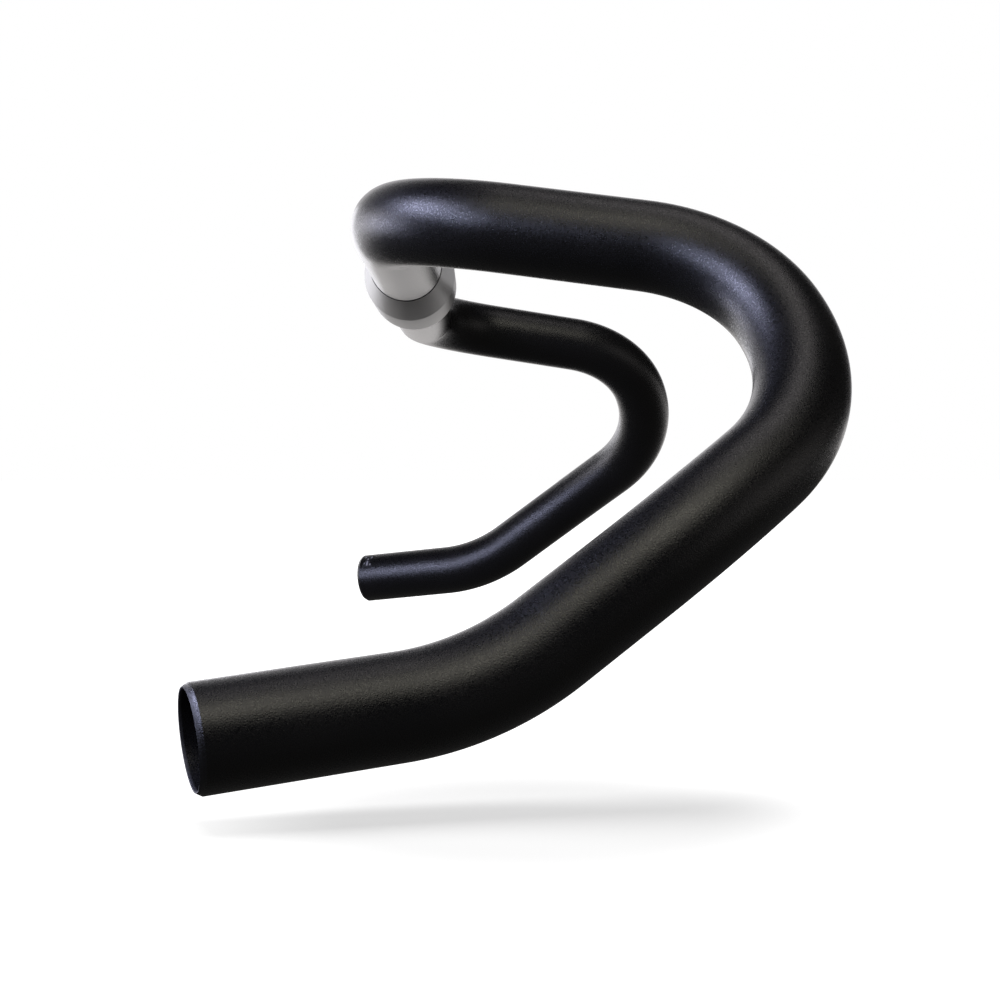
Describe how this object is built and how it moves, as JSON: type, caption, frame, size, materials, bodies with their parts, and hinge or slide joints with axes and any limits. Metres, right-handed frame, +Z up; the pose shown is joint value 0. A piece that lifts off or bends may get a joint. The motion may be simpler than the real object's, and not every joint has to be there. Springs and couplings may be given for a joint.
{
  "type": "drop handlebar",
  "caption": "Wide flared drop handlebar bent from one black aluminium tube, with a tapered clamp sleeve at the centre and open, chamfered ends.",
  "frame": {"origin": "middle of the stem clamp, on the axis of the tops", "axes": "+X to the rider's right along the tops, +Y forward along the ramps, +Z up"},
  "size_m": [0.6214, 0.1539, 0.1518],
  "materials": {
    "tube_anodised": "bead-blasted, black anodised, fine satin grain",
    "sleeve_anodised": "bead-blasted, black anodised, slightly smoother",
    "label_film": "thin printed film"
  },
  "bodies": {
    "root": {"bar_tube": "tube_anodised", "clamp_sleeve": "sleeve_anodised", "right_end_label": "label_film", "left_end_label": "label_film"}
  },
  "joints": []
}
